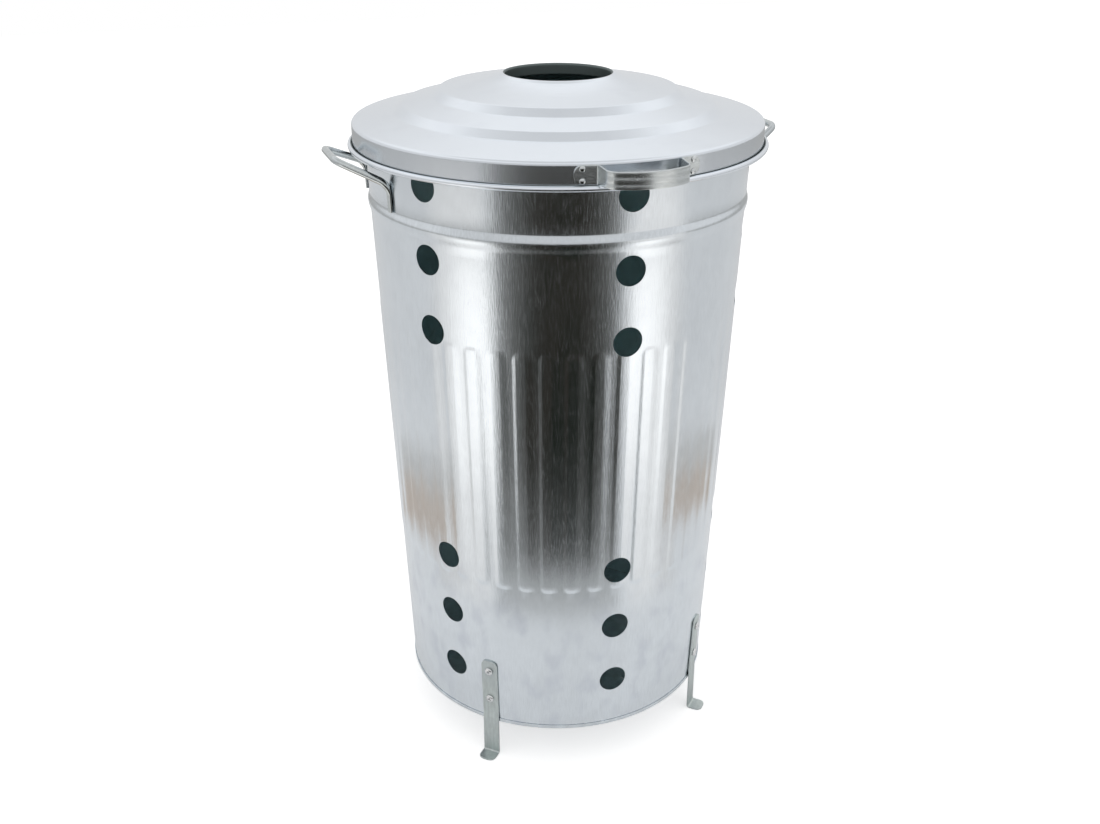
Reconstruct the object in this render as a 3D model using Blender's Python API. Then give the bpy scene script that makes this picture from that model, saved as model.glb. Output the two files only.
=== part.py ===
"""Round galvanised steel garden bin with a loose lid, two wire handles and four strap legs.

The origin is the centre of the base plate's underside, +Z is up and the lid's handle faces -Y.
Angles run from -Y towards +X. Everything is in metres.
"""

import math

import bmesh
import bpy
from mathutils import Vector

# Sheet metal and the gap left between two pieces that touch
SHEET = 0.0006
GAP = 0.0003
SEAT_GAP = 0.0001

# Tapered wall
BASE_RADIUS = 0.1902
RIM_RADIUS = 0.2167
RIM_HEIGHT = 0.6996
BASE_RIM_HEIGHT = 0.005

# Shallow flat-topped ribs pressed round the wall, steeper on their left than on their right
RIB_COUNT = 47
RIB_CREST = 0.0100
RIB_LEFT_FLANK = 0.0040
RIB_RIGHT_FLANK = 0.0075
RIB_END_FLANK = 0.0050
RIB_PROUD = 0.0005
RIB_BOTTOM = 0.1975
RIB_TOP_DROP = 0.2011

# Rolled bead above the ribs, measured down from the rim
BEAD_DROP = 0.0846
BEAD_WIDTH = 0.022
BEAD_PROUD = 0.0022

# Air holes: six columns of three low holes, up from the base, and three high ones, down from the rim
HOLE_COLUMNS = 6
HOLE_RADIUS = 0.0165
HOLE_STEP = 0.0780
LOW_HOLE = 0.0672
HIGH_HOLE_DROP = 0.0370
HOLES_IN_RUN = 3

# Steel wire rolled into the top edge
WIRE_RADIUS = 0.002
WIRE_PLAY = 0.0005
RIM_CURL_TURN = math.radians(290)

# Lid, measured from its edge inwards
LID_COLUMNS = 60
LID_CLEARANCE = 0.0062
SKIRT_DEPTH = 0.0253
EDGE_ROUND = 0.0036
SHOULDER_WIDTH = 0.0467
SHOULDER_RISE = 0.0095
RISER_RUN = 0.0095
RISER_RISE = 0.0074
STEP_WIDTH = 0.0321
STEP_RISE = 0.0079
DOME_RISE = 0.0107
DOME_FLARE = 0.0035
OPENING_RADIUS = 0.0585
LIP_WIDTH = 0.0045
LIP_RISE = 0.0015
NECK_DEPTH = 0.0120
HEM_INNER_RADIUS = 0.0024
HEM_CURL_TURN = math.radians(300)

# Strap handle on the lid's skirt
LID_STRAP_WIDTH = 0.0172
LID_STRAP_THICKNESS = 0.0015
LID_STRAP_DROP = 0.0121
LID_PLATE_WIDTH = 0.0198
LID_PLATE_LENGTH = 0.0235
LID_PLATE_ROUND = 0.0085
LID_FOLD_SPACING = 0.0868
LID_BOW_SPACING = 0.0850
LID_BOW_CORNER = 0.0225
LID_BOW_REACH = 0.0405
LID_FOLD_BEND = 0.0030
LID_CORNER_BEND = 0.0140
LID_BOW_BEND = 0.0700

# Rivets through the handle's plates
RIVET_RADIUS = 0.0020
RIVET_HEAD_RADIUS = 0.0031
RIVET_HEAD_HEIGHT = 0.0016
RIVET_TAIL_RADIUS = 0.0029
RIVET_TAIL_HEIGHT = 0.0010
RIVET_PITCH = 0.0120
RIVET_SHIFT = 0.0035

# Rod handles on the wall: the grip stands out past the lid's hem, heights run down from the rim
ROD_RADIUS = 0.0040
GRIP_SPACING = 0.0624
GRIP_CLEARANCE = 0.0203
GRIP_DROP = 0.0220
GRIP_BEND = 0.0150
PAW_SPACING = 0.1110
PAW_BOTTOM_DROP = 0.0750
PAW_TOP_DROP = 0.0556
PAW_BEND_DROP = 0.0441
PAW_BEND = 0.0120
PAW_WIDTH = 0.0082
PAW_THICKNESS = 0.0036

# Strap legs
LEG_WIDTH = 0.0210
LEG_THICKNESS = 0.0020
LEG_TOP = 0.0890
LEG_KNEE = 0.0120
LEG_CORNER_ROUND = 0.0070
LEG_KNEE_BEND = 0.0060
FOOT_DROP = 0.0480
TOE_REACH = 0.0168
TOE_ROUND = 0.0070
HEEL_BEND = 0.0030

# Screws and nuts that hold the legs
SCREW_RADIUS = 0.0024
SCREW_HEAD_RADIUS = 0.0050
SCREW_HEAD_HEIGHT = 0.0030
SCREW_TAIL = 0.0015
UPPER_SCREW = 0.0748
LOWER_SCREW = 0.0340
NUT_ACROSS_FLATS = 0.0080
NUT_THICKNESS = 0.0040
THREAD_PLAY = 0.0002

# Facets of round pieces
HOLE_SIDES = 12
SMALL_SIDES = 12
ROD_SIDES = 8
WIRE_SIDES = 6
CURL_STEPS = 5
BEND_STEPS = 3
CORNER_SHARES = (0.0, 0.15, 0.5, 1.0)
CUTTER_DEPTH = 0.030
SHARP_ANGLE = math.radians(35)

# Where things stand round the bin
RIB_PITCH = 2 * math.pi / RIB_COUNT
HANDLE_ANGLES = {"left": -math.pi / 2, "right": math.pi / 2}
LEG_ANGLES = {
    "front_right": math.pi / 4,
    "rear_right": 3 * math.pi / 4,
    "rear_left": -3 * math.pi / 4,
    "front_left": -math.pi / 4,
}
SCREW_HEIGHTS = {"upper": UPPER_SCREW, "lower": LOWER_SCREW}
WALL_TAPER = (RIM_RADIUS - BASE_RADIUS) / RIM_HEIGHT
WALL_LEAN = math.atan(WALL_TAPER)
RIB_TOP = RIM_HEIGHT - RIB_TOP_DROP
BEAD_HEIGHT = RIM_HEIGHT - BEAD_DROP


def clear_scene():
    """Remove what is in the scene, so that only the bin is left."""
    for item in list(bpy.data.objects):
        bpy.data.objects.remove(item, do_unlink=True)


def wall_radius(height):
    """Outer radius of the plain wall at a height."""
    return BASE_RADIUS + WALL_TAPER * height


def facet_sag(radius, columns):
    """How far the middle of a facet lies inside its circle."""
    return radius * (1 - math.cos(math.pi / columns))


def polar(angle, radius, height):
    """Point at an angle from -Y towards +X."""
    return Vector((radius * math.sin(angle), -radius * math.cos(angle), height))


def steel(name, colour, roughness):
    """Galvanised steel with its own tint and roughness."""
    material = bpy.data.materials.new(name)
    material.use_nodes = True
    shader = material.node_tree.nodes["Principled BSDF"]
    shader.inputs["Base Color"].default_value = (*colour, 1.0)
    shader.inputs["Metallic"].default_value = 1.0
    shader.inputs["Roughness"].default_value = roughness
    return material


def add_object(name, shape, material):
    """Put a finished bmesh into the scene as a named object, shaded smooth."""
    mesh = bpy.data.meshes.new(name)
    shape.to_mesh(mesh)
    shape.free()
    mesh.shade_smooth()
    mesh.set_sharp_from_angle(angle=SHARP_ANGLE)
    item = bpy.data.objects.new(name, mesh)
    bpy.context.scene.collection.objects.link(item)
    item.data.materials.append(material)
    return item


def thicken(item):
    """Give a surface the sheet's thickness on its inner side."""
    modifier = item.modifiers.new("sheet", "SOLIDIFY")
    modifier.thickness = SHEET
    modifier.offset = -1
    modifier.use_even_offset = True


def cut(item, cutter):
    """Cut a hidden tool's shape out of an object."""
    modifier = item.modifiers.new("holes", "BOOLEAN")
    modifier.operation = "DIFFERENCE"
    modifier.solver = "EXACT"
    modifier.object = cutter


def add_rows(shape, rows, loop):
    """Join rows of the same number of points into a band; loop also joins the last to the first."""
    count = len(rows[0])
    pairs = list(zip(rows, rows[1:]))
    if loop:
        pairs.append((rows[-1], rows[0]))
    for low, high in pairs:
        for i in range(count):
            j = (i + 1) % count
            shape.faces.new((low[i], low[j], high[j], high[i]))


def turned(profile, columns, phase=0.0, loop=False):
    """Turn a profile of (radius, height) points round the Z axis."""
    shape = bmesh.new()
    rows = []
    for radius, height in profile:
        angles = [(k + phase) * 2 * math.pi / columns for k in range(columns)]
        rows.append([shape.verts.new(polar(a, radius, height)) for a in angles])
    add_rows(shape, rows, loop)
    return shape, rows


def turned_solid(profile, columns, phase=0.0):
    """Turn a profile that starts and ends at flat round faces."""
    shape, rows = turned(profile, columns, phase)
    shape.faces.new(rows[0])
    shape.faces.new(rows[-1])
    bmesh.ops.recalc_face_normals(shape, faces=shape.faces)
    return shape


def arc(centre, radius, start, turn, steps):
    """Points on an arc in the (radius, height) plane, both ends included."""
    angles = [start + turn * i / steps for i in range(steps + 1)]
    return [(centre[0] + radius * math.cos(a), centre[1] + radius * math.sin(a)) for a in angles]


def rounded_path(points, bends):
    """Replace each inner corner of a path by an arc of the given radius."""
    path = [points[0]]
    for before, corner, after, radius in zip(points, points[1:], points[2:], bends):
        arrive = (corner - before).normalized()
        leave = (after - corner).normalized()
        turn = arrive.angle(leave)
        reach = radius * math.tan(turn / 2)
        centre = corner + (leave - arrive).normalized() * radius / math.cos(turn / 2)
        first = (corner - arrive * reach - centre).normalized()
        last = (corner + leave * reach - centre).normalized()
        for i in range(BEND_STEPS + 1):
            path.append(centre + first.slerp(last, i / BEND_STEPS) * radius)
    path.append(points[-1])
    return path


def end_widths(half_width, corner):
    """Distances from a strap's end and the half width there, for rounded corners."""
    spans = []
    for share in CORNER_SHARES:
        distance = share * corner
        bulge = math.sqrt(corner**2 - (corner - distance) ** 2)
        spans.append((distance, half_width - corner + bulge))
    return spans


def strap_stations(path, half_width, first_round, last_round):
    """Points and half widths along a strap whose two ends have rounded corners."""
    ahead = (path[1] - path[0]).normalized()
    back = (path[-2] - path[-1]).normalized()
    stations = [(path[0] + ahead * d, w) for d, w in end_widths(half_width, first_round)]
    stations += [(point, half_width) for point in path[1:-1]]
    stations += [(path[-1] + back * d, w) for d, w in reversed(end_widths(half_width, last_round))]
    return stations


def path_directions(points):
    """Unit direction and half the turn at each point of a path."""
    result = []
    for i, point in enumerate(points):
        arrive = (point - points[i - 1]).normalized() if i else None
        leave = (points[i + 1] - point).normalized() if i + 1 < len(points) else None
        if arrive is None or leave is None:
            result.append((leave or arrive, 0.0))
        else:
            result.append(((arrive + leave).normalized(), arrive.angle(leave) / 2))
    return result


def strap(stations, across, thickness):
    """Flat strap along a path, with its width along one fixed direction."""
    shape = bmesh.new()
    rows = []
    directions = path_directions([point for point, _ in stations])
    for (point, half_width), (ahead, half_turn) in zip(stations, directions):
        through = ahead.cross(across).normalized() * thickness / 2 / math.cos(half_turn)
        side = across * half_width
        corners = ((-1, -1), (1, -1), (1, 1), (-1, 1))
        rows.append([shape.verts.new(point + side * i + through * j) for i, j in corners])
    add_rows(shape, rows, False)
    shape.faces.new(rows[0])
    shape.faces.new(rows[-1])
    bmesh.ops.recalc_face_normals(shape, faces=shape.faces)
    return shape


def rod(stations, across):
    """Rod along a path; each station has its half width and half thickness."""
    shape = bmesh.new()
    rows = []
    directions = path_directions([point for point, _, _ in stations])
    previous = directions[0][0]
    for (point, half_width, half_thickness), (ahead, _) in zip(stations, directions):
        across = previous.rotation_difference(ahead) @ across
        previous = ahead
        side = across * half_width
        through = ahead.cross(across).normalized() * half_thickness
        angles = [(k + 0.5) * 2 * math.pi / ROD_SIDES for k in range(ROD_SIDES)]
        rows.append([shape.verts.new(point + side * math.cos(a) + through * math.sin(a)) for a in angles])
    add_rows(shape, rows, False)
    shape.faces.new(rows[0])
    shape.faces.new(rows[-1])
    bmesh.ops.recalc_face_normals(shape, faces=shape.faces)
    return shape


def stand_on(item, angle, radius, height, lean=0.0):
    """Point an object's +Z axis out of the wall at an angle and a height."""
    item.location = polar(angle, radius, height)
    item.rotation_euler = (math.pi / 2 + lean, 0.0, angle)


def hole_cutter(name, places, radius, sides):
    """Hidden prisms that stand across the sheet at each (angle, radius, height, lean)."""
    shape = bmesh.new()
    guide = bpy.data.objects.new("guide", None)
    for angle, distance, height, lean in places:
        stand_on(guide, angle, distance, height, lean)
        bmesh.ops.create_cone(
            shape,
            cap_ends=True,
            segments=sides,
            radius1=radius,
            radius2=radius,
            depth=CUTTER_DEPTH,
            matrix=guide.matrix_basis,
        )
    bpy.data.objects.remove(guide)
    cutter = add_object(name, shape, FINISHES["sheet"])
    cutter.hide_render = True
    cutter.display_type = "WIRE"
    return cutter


def rim_profile():
    """Wall above the ribs: plain, bead, plain again, and the curl round the wire."""
    profile = []
    for share, proud in ((-0.5, 0.0), (-0.25, 0.75), (0.0, 1.0), (0.25, 0.75), (0.5, 0.0)):
        height = BEAD_HEIGHT + share * BEAD_WIDTH
        profile.append((wall_radius(height) + proud * BEAD_PROUD, height))
    return profile + arc(rim_centre(), rim_curl_radius(), math.pi, -RIM_CURL_TURN, CURL_STEPS)


def rim_curl_radius():
    """Inner radius of the curl that holds the wire."""
    return WIRE_RADIUS + WIRE_PLAY


def rim_centre():
    """Middle of the wire, as (radius, height)."""
    return wall_radius(RIM_HEIGHT) + rim_curl_radius(), RIM_HEIGHT


def wall_surface():
    """Outer surface of the wall: a column to a rib, with a ribbed band between two plain ones."""
    shape = bmesh.new()
    middle = wall_radius((RIB_BOTTOM + RIB_TOP) / 2)
    reach = (RIB_LEFT_FLANK + RIB_CREST + RIB_RIGHT_FLANK) / 2
    edges = (-reach, RIB_LEFT_FLANK - reach, reach - RIB_RIGHT_FLANK, reach)
    folds = [math.asin(edge / middle) / RIB_PITCH for edge in edges]

    def row(radius, height, offset):
        angles = [(k + offset) * RIB_PITCH for k in range(RIB_COUNT)]
        return [shape.verts.new(polar(a, radius, height)) for a in angles]

    def rib_rows(foot_height, crest_height):
        radius = wall_radius(foot_height)
        crest_radius = wall_radius(crest_height) + RIB_PROUD
        feet = [row(radius, foot_height, fold) for fold in (folds[0], folds[3])]
        crests = [row(crest_radius, crest_height, fold) for fold in folds[1:3]]
        return feet[0], crests[0], crests[1], feet[1]

    bottom_height = SHEET + GAP
    bottom = row(wall_radius(bottom_height), bottom_height, 0.5)
    low = rib_rows(RIB_BOTTOM, RIB_BOTTOM + RIB_END_FLANK)
    high = rib_rows(RIB_TOP, RIB_TOP - RIB_END_FLANK)
    upper = [row(radius, height, 0.5) for radius, height in rim_profile()]
    for k in range(RIB_COUNT):
        after = (k + 1) % RIB_COUNT
        shape.faces.new((bottom[k - 1], bottom[k], low[3][k], low[0][k]))
        shape.faces.new((bottom[k], low[0][after], low[3][k]))
        shape.faces.new([rib[k] for rib in reversed(low)])
        for left_low, right_low, left_high, right_high in zip(low, low[1:], high, high[1:]):
            shape.faces.new((left_low[k], right_low[k], right_high[k], left_high[k]))
        shape.faces.new((low[3][k], low[0][after], high[0][after], high[3][k]))
        shape.faces.new([rib[k] for rib in high])
        shape.faces.new((high[0][k], high[3][k], upper[0][k], upper[0][k - 1]))
        shape.faces.new((high[3][k], high[0][after], upper[0][k]))
    add_rows(shape, upper, False)
    return shape


def air_hole_places():
    """Angle, radius, height and lean of every air hole."""
    heights = [LOW_HOLE + i * HOLE_STEP for i in range(HOLES_IN_RUN)]
    heights += [RIM_HEIGHT - HIGH_HOLE_DROP - i * HOLE_STEP for i in range(HOLES_IN_RUN)]
    angles = [column * 2 * math.pi / HOLE_COLUMNS for column in range(HOLE_COLUMNS)]
    return [(angle, wall_radius(z), z, WALL_LEAN) for angle in angles for z in heights]


def leg_screw_places():
    """Name, angle and height of every leg screw."""
    return [
        (f"leg_{leg}_screw_{level}", f"leg_{leg}_nut_{level}", angle, height)
        for leg, angle in LEG_ANGLES.items()
        for level, height in SCREW_HEIGHTS.items()
    ]


def make_body(leg_holes):
    """Ribbed wall with its air holes."""
    body = add_object("body_shell", wall_surface(), FINISHES["sheet"])
    thicken(body)
    cut(body, hole_cutter("air_hole_cutter", air_hole_places(), HOLE_RADIUS, HOLE_SIDES))
    cut(body, leg_holes)


def make_rim_wire():
    """Ring of steel wire inside the rolled top edge."""
    profile = arc(rim_centre(), WIRE_RADIUS, 0.0, 2 * math.pi, WIRE_SIDES)[:-1]
    shape, _ = turned(profile, RIB_COUNT, 0.5, loop=True)
    bmesh.ops.recalc_face_normals(shape, faces=shape.faces)
    add_object("rim_wire", shape, FINISHES["wire"])


def base_rim_radius():
    """Outer radius of the base plate's turned-up rim."""
    return wall_radius(BASE_RIM_HEIGHT) + GAP + SHEET


def make_base_plate():
    """Round plate whose rim is turned up round the foot of the wall."""
    outer = base_rim_radius()
    inner = outer - SHEET
    corner = BASE_RIM_HEIGHT
    profile = [(inner, SHEET), (inner, corner), (outer, corner), (outer, 0.0)]
    add_object("base_plate", turned_solid(profile, RIB_COUNT, 0.5), FINISHES["base"])


def make_leg(name, angle, leg_holes):
    """Strap that follows the wall, steps out over the base rim and ends in a turned-out toe."""
    half = LEG_THICKNESS / 2
    upper = wall_radius(LEG_TOP) + SEAT_GAP + half
    knee = wall_radius(LEG_KNEE) + SEAT_GAP + half
    lower = base_rim_radius() + SEAT_GAP + half
    sole = half - FOOT_DROP
    corners = [
        Vector((0, -upper, LEG_TOP)),
        Vector((0, -knee, LEG_KNEE)),
        Vector((0, -lower, BASE_RIM_HEIGHT)),
        Vector((0, -lower, sole)),
        Vector((0, -lower - half - TOE_REACH, sole)),
    ]
    path = rounded_path(corners, (LEG_KNEE_BEND, LEG_KNEE_BEND, HEEL_BEND))
    stations = strap_stations(path, LEG_WIDTH / 2, LEG_CORNER_ROUND, TOE_ROUND)
    leg = add_object(f"leg_{name}", strap(stations, Vector((1, 0, 0)), LEG_THICKNESS), FINISHES["leg"])
    leg.rotation_euler.z = angle
    cut(leg, leg_holes)


def screw_shape():
    """Pan-head screw along +Z, with z = 0 on the outside of the wall."""
    seat = SEAT_GAP + LEG_THICKNESS + GAP
    crown = seat + SCREW_HEAD_HEIGHT
    shoulder = seat + 0.6 * SCREW_HEAD_HEIGHT
    tail = nut_start() - NUT_THICKNESS - SCREW_TAIL
    profile = [
        (SCREW_RADIUS, tail),
        (SCREW_RADIUS, seat),
        (SCREW_HEAD_RADIUS, seat),
        (SCREW_HEAD_RADIUS, shoulder),
        (0.6 * SCREW_HEAD_RADIUS, crown),
    ]
    return turned_solid(profile, SMALL_SIDES)


def nut_start():
    """Outer face of a nut, measured along its screw from the outside of the wall."""
    return -(SHEET + facet_sag(BASE_RADIUS, RIB_COUNT) + GAP)


def nut_shape():
    """Hexagon nut along +Z, open on the screw's axis."""
    top = nut_start()
    bottom = top - NUT_THICKNESS
    corner = NUT_ACROSS_FLATS / 2 / math.cos(math.pi / 6)
    bore = SCREW_RADIUS + THREAD_PLAY
    shape = bmesh.new()
    flats = (math.cos(math.pi / 6), 1.0)
    rows = []
    outline = ((bore, top, False), (corner, top, True), (corner, bottom, True), (bore, bottom, False))
    for radius, height, hexagon in outline:
        radii = [radius * (flats[(k + 1) % 2] if hexagon else 1.0) for k in range(SMALL_SIDES)]
        angles = [k * 2 * math.pi / SMALL_SIDES for k in range(SMALL_SIDES)]
        rows.append([shape.verts.new(polar(a, r, height)) for a, r in zip(angles, radii)])
    add_rows(shape, rows, True)
    bmesh.ops.recalc_face_normals(shape, faces=shape.faces)
    return shape


def make_leg_fasteners():
    """A screw from outside and a nut inside at each leg hole."""
    for screw_name, nut_name, angle, height in leg_screw_places():
        radius = wall_radius(height)
        screw = add_object(screw_name, screw_shape(), FINISHES["screw"])
        stand_on(screw, angle, radius, height, WALL_LEAN)
        nut = add_object(nut_name, nut_shape(), FINISHES["nut"])
        stand_on(nut, angle, radius, height, WALL_LEAN)


def rod_size(point):
    """Half width and half thickness of the rod, hammered flat where it lies on the wall."""
    flat = PAW_THICKNESS / 2
    clear = math.hypot(point.x, point.y) - wall_radius(point.z) - SEAT_GAP
    thickness = min(max(clear, flat), ROD_RADIUS)
    share = (thickness - flat) / (ROD_RADIUS - flat)
    return PAW_WIDTH / 2 + (ROD_RADIUS - PAW_WIDTH / 2) * share, thickness


def handle_stations():
    """Rod handle facing -Y: flattened paw, arm, grip, arm, flattened paw."""
    paw_radius = wall_radius(RIM_HEIGHT - PAW_TOP_DROP) + SEAT_GAP + PAW_THICKNESS / 2
    spread = math.asin(PAW_SPACING / 2 / paw_radius)
    grip_reach = hem_radius() + GRIP_CLEARANCE + ROD_RADIUS

    def on_wall(side, drop, clear):
        height = RIM_HEIGHT - drop
        return polar(side * spread, wall_radius(height) + SEAT_GAP + clear, height)

    def half_path(side):
        clear = PAW_THICKNESS / 2
        return [
            on_wall(side, PAW_BOTTOM_DROP, clear),
            on_wall(side, PAW_TOP_DROP, clear),
            on_wall(side, PAW_BEND_DROP, ROD_RADIUS),
            Vector((side * GRIP_SPACING / 2, -grip_reach, RIM_HEIGHT - GRIP_DROP)),
        ]

    corners = half_path(-1) + half_path(1)[::-1]
    bends = (PAW_BEND, PAW_BEND, GRIP_BEND, GRIP_BEND, PAW_BEND, PAW_BEND)
    stations = [(point, *rod_size(point)) for point in rounded_path(corners, bends)]
    tangent = Vector((math.cos(spread), -math.sin(spread), 0))
    return stations, tangent


def make_body_handles():
    """The same bent rod on both sides of the wall."""
    for side, angle in HANDLE_ANGLES.items():
        stations, tangent = handle_stations()
        handle = add_object(f"body_handle_{side}", rod(stations, tangent), FINISHES["handle"])
        handle.rotation_euler.z = angle


def skirt_radius():
    """Outer radius of the lid's skirt, which clears the rolled rim."""
    rim_outside = rim_centre()[0] + rim_curl_radius() + SHEET
    return rim_outside + LID_CLEARANCE + SHEET


def hem_radius():
    """Outer radius of the rolled hem at the skirt's foot."""
    return skirt_radius() + 2 * HEM_INNER_RADIUS + SHEET


def lid_height():
    """Height of the lid's sharp edge, where its shoulder rests on the rolled rim."""
    slope = math.atan(SHOULDER_RISE / SHOULDER_WIDTH)
    radius, height = rim_centre()
    lift = (rim_curl_radius() + 2 * SHEET + GAP) / math.cos(slope)
    return height + lift - (skirt_radius() - radius) * math.tan(slope)


def dome_points(radius, height):
    """Crown of the lid: a low cone from the inner riser that flares up towards the opening."""
    inner = OPENING_RADIUS + LIP_WIDTH
    points = []
    for share in (0.0, 0.45, 0.7, 0.87, 1.0):
        rise = DOME_RISE * share + DOME_FLARE * share**5
        points.append((radius + (inner - radius) * share, height + rise))
    return points


def lid_profile():
    """Outer surface of the lid from the hem's free edge to the foot of the neck."""
    edge = skirt_radius()
    hem_centre = (edge + HEM_INNER_RADIUS, -SKIRT_DEPTH)
    profile = arc(hem_centre, HEM_INNER_RADIUS, math.pi + HEM_CURL_TURN, -HEM_CURL_TURN, CURL_STEPS)
    slope = SHOULDER_RISE / SHOULDER_WIDTH
    profile += [(edge, -EDGE_ROUND), (edge - 0.3 * EDGE_ROUND, -0.3 * EDGE_ROUND)]
    profile.append((edge - EDGE_ROUND, EDGE_ROUND * slope))
    radius = edge - SHOULDER_WIDTH
    height = SHOULDER_RISE
    profile.append((radius, height))
    radius -= RISER_RUN
    height += RISER_RISE
    profile.append((radius, height))
    radius -= STEP_WIDTH
    height += STEP_RISE
    profile.append((radius, height))
    radius -= RISER_RUN
    height += RISER_RISE
    profile += dome_points(radius, height)
    lip = height + DOME_RISE + DOME_FLARE + LIP_RISE
    profile += [(OPENING_RADIUS + 0.4 * LIP_WIDTH, lip), (OPENING_RADIUS, lip - 0.4 * LIP_WIDTH)]
    profile.append((OPENING_RADIUS, lip - NECK_DEPTH))
    return profile


def lid_plate():
    """Middle angle, fold point and end point of a handle plate in plan, on the +X side."""
    seat = skirt_radius() + SEAT_GAP + LID_STRAP_THICKNESS / 2
    angle = math.asin(LID_FOLD_SPACING / 2 / seat) + LID_PLATE_LENGTH / 2 / seat
    middle = polar(angle, seat, -LID_STRAP_DROP)
    along = Vector((math.cos(angle), math.sin(angle), 0)) * LID_PLATE_LENGTH / 2
    return angle, middle - along, middle + along


def mirrored(point):
    """The same point on the other side of the YZ plane."""
    return Vector((-point.x, point.y, point.z))


def lid_handle_stations():
    """Strap from plate to plate, bowed away from the skirt."""
    _, fold, end = lid_plate()
    seat = skirt_radius() + SEAT_GAP + LID_STRAP_THICKNESS / 2
    corner = Vector((LID_BOW_SPACING / 2, -seat - LID_BOW_CORNER, -LID_STRAP_DROP))
    front = Vector((0, -seat - LID_BOW_REACH, -LID_STRAP_DROP))
    points = [mirrored(end), mirrored(fold), mirrored(corner), front, corner, fold, end]
    bends = (LID_FOLD_BEND, LID_CORNER_BEND, LID_BOW_BEND, LID_CORNER_BEND, LID_FOLD_BEND)
    path = rounded_path(points, bends)
    stations = strap_stations(path, LID_PLATE_WIDTH / 2, LID_PLATE_ROUND, LID_PLATE_ROUND)
    plate = len(CORNER_SHARES) + BEND_STEPS + 1
    bow = [(point, LID_STRAP_WIDTH / 2) for point, _ in stations[plate:-plate]]
    return stations[:plate] + bow + stations[-plate:]


def rivet_places():
    """Name, angle and height of every rivet, from the lid's edge, nearer the plate's end."""
    angle = lid_plate()[0] + RIVET_SHIFT / skirt_radius()
    return [
        (f"lid_rivet_{side}_{level}", sign * angle, -LID_STRAP_DROP + lift * RIVET_PITCH / 2)
        for side, sign in (("left", -1), ("right", 1))
        for level, lift in (("upper", 1), ("lower", -1))
    ]


def rivet_shape():
    """Domed rivet along +Z with its tail spread inside, z = 0 on the outside of the skirt."""
    seat = SEAT_GAP + LID_STRAP_THICKNESS + GAP
    crown = seat + RIVET_HEAD_HEIGHT
    inside = -(SHEET + facet_sag(skirt_radius(), LID_COLUMNS) + GAP)
    profile = [
        (RIVET_TAIL_RADIUS, inside - RIVET_TAIL_HEIGHT),
        (RIVET_TAIL_RADIUS, inside),
        (RIVET_RADIUS, inside),
        (RIVET_RADIUS, seat),
        (RIVET_HEAD_RADIUS, seat),
        (0.8 * RIVET_HEAD_RADIUS, seat + 0.6 * RIVET_HEAD_HEIGHT),
        (0.4 * RIVET_HEAD_RADIUS, crown),
    ]
    return turned_solid(profile, SMALL_SIDES)


def make_lid():
    """Lid, its strap handle and rivets, carried by an empty on the lift's axis."""
    carrier = bpy.data.objects.new("lid_axis", None)
    bpy.context.scene.collection.objects.link(carrier)
    carrier.location = (0, 0, lid_height())
    shape, _ = turned(lid_profile(), LID_COLUMNS)
    shell = add_object("lid_shell", shape, FINISHES["lid"])
    thicken(shell)
    across = Vector((0, 0, 1))
    shape = strap(lid_handle_stations(), across, LID_STRAP_THICKNESS)
    handle = add_object("lid_handle", shape, FINISHES["lid_handle"])
    places = [(angle, skirt_radius(), height, 0.0) for _, angle, height in rivet_places()]
    holes = hole_cutter("rivet_hole_cutter", places, RIVET_RADIUS + GAP, SMALL_SIDES)
    pieces = [shell, handle, holes]
    for name, angle, height in rivet_places():
        rivet = add_object(name, rivet_shape(), FINISHES["rivet"])
        stand_on(rivet, angle, skirt_radius(), height)
        pieces.append(rivet)
    for piece in pieces:
        piece.parent = carrier
    cut(shell, holes)
    cut(handle, holes)


def make_bin():
    """Everything that stays put: wall, wire, base, handles, legs and fasteners."""
    places = [(angle, wall_radius(z), z, WALL_LEAN) for _, _, angle, z in leg_screw_places()]
    leg_holes = hole_cutter("leg_hole_cutter", places, SCREW_RADIUS + GAP, SMALL_SIDES)
    make_body(leg_holes)
    make_rim_wire()
    make_base_plate()
    make_body_handles()
    for name, angle in LEG_ANGLES.items():
        make_leg(name, angle, leg_holes)
    make_leg_fasteners()


clear_scene()
FINISHES = {
    "sheet": steel("wall_sheet", (0.76, 0.78, 0.80), 0.28),
    "wire": steel("rim_wire_steel", (0.66, 0.68, 0.69), 0.35),
    "base": steel("base_sheet", (0.70, 0.72, 0.73), 0.45),
    "handle": steel("handle_rod", (0.72, 0.74, 0.75), 0.30),
    "leg": steel("leg_strap", (0.60, 0.64, 0.64), 0.48),
    "screw": steel("bright_screw", (0.82, 0.83, 0.84), 0.22),
    "nut": steel("plain_nut", (0.70, 0.71, 0.72), 0.35),
    "lid": steel("lid_sheet", (0.84, 0.86, 0.89), 0.42),
    "lid_handle": steel("lid_strap", (0.66, 0.68, 0.68), 0.30),
    "rivet": steel("soft_rivet", (0.80, 0.81, 0.82), 0.30),
}
make_bin()
make_lid()
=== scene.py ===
# %% [markdown]
# # A round galvanised garden bin
#
# The bin is thin zinc-coated steel sheet: a tapered wall with pressed ribs and air holes, a base,
# a loose lid with an opening, two rod handles, a strap handle and four strap legs. The solids in
# the frame have its true sizes but few facets. Here every piece is made again with a smooth
# surface and a finish, because bare metal shows each facet in what it mirrors.
#
# Angles run from the front (-Y) towards the right (+X), and all lengths are in metres.

# %% Load the fixed frame
import math

import bmesh
import bpy
from mathutils import Matrix, Vector


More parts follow.
